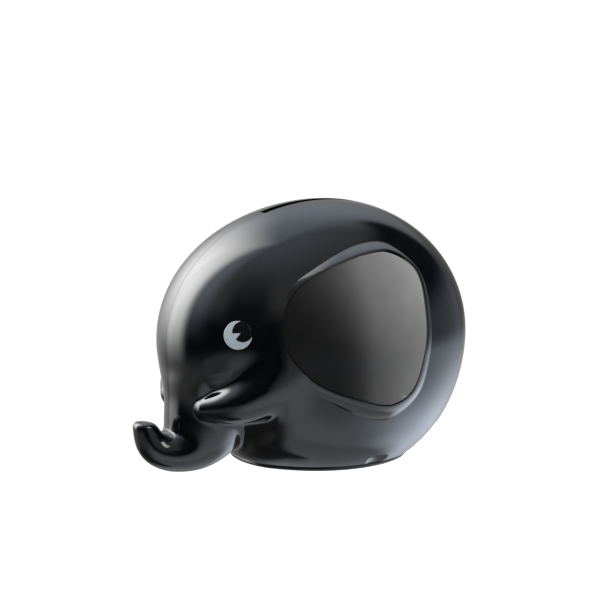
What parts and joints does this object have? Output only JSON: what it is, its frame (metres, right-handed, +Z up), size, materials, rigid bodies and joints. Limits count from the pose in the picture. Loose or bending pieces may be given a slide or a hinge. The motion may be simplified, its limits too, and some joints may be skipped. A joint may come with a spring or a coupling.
{
  "type": "figural animal coin bank",
  "caption": "Glossy black elephant coin bank: two moulded shells with a crest slot, matt ear panels, inlaid eyes and a pull-off base cover.",
  "frame": {"origin": "on the underside of the base cover, at the middle of the round base, which is the plane it stands on", "axes": "+Z up; the elephant looks along -X; its left side is towards -Y; the two shells meet on the XZ plane"},
  "size_m": [0.1623, 0.106, 0.1135],
  "materials": {
    "gloss_shell": "high-gloss moulded ABS, near black with a faint blue cast",
    "matt_ear": "satin matt dark grey moulded plastic with a fine spark-eroded grain",
    "eye_white": "smooth off-white plastic",
    "eye_pupil": "smooth black plastic",
    "base_cover": "semi-gloss black moulded plastic"
  },
  "bodies": {
    "cover": {"base_cover": "base_cover"},
    "elephant": {"shell_left": "gloss_shell", "shell_right": "gloss_shell", "ear_panel_left": "matt_ear", "ear_panel_right": "matt_ear", "eye_white_left": "eye_white", "eye_white_right": "eye_white", "eye_pupil_left": "eye_pupil", "eye_pupil_right": "eye_pupil"}
  },
  "joints": [
    {"name": "cover_release", "type": "slide", "parent": "cover", "child": "elephant", "axis": [0, 0, 1], "range_m": [0, 0.04]}
  ]
}
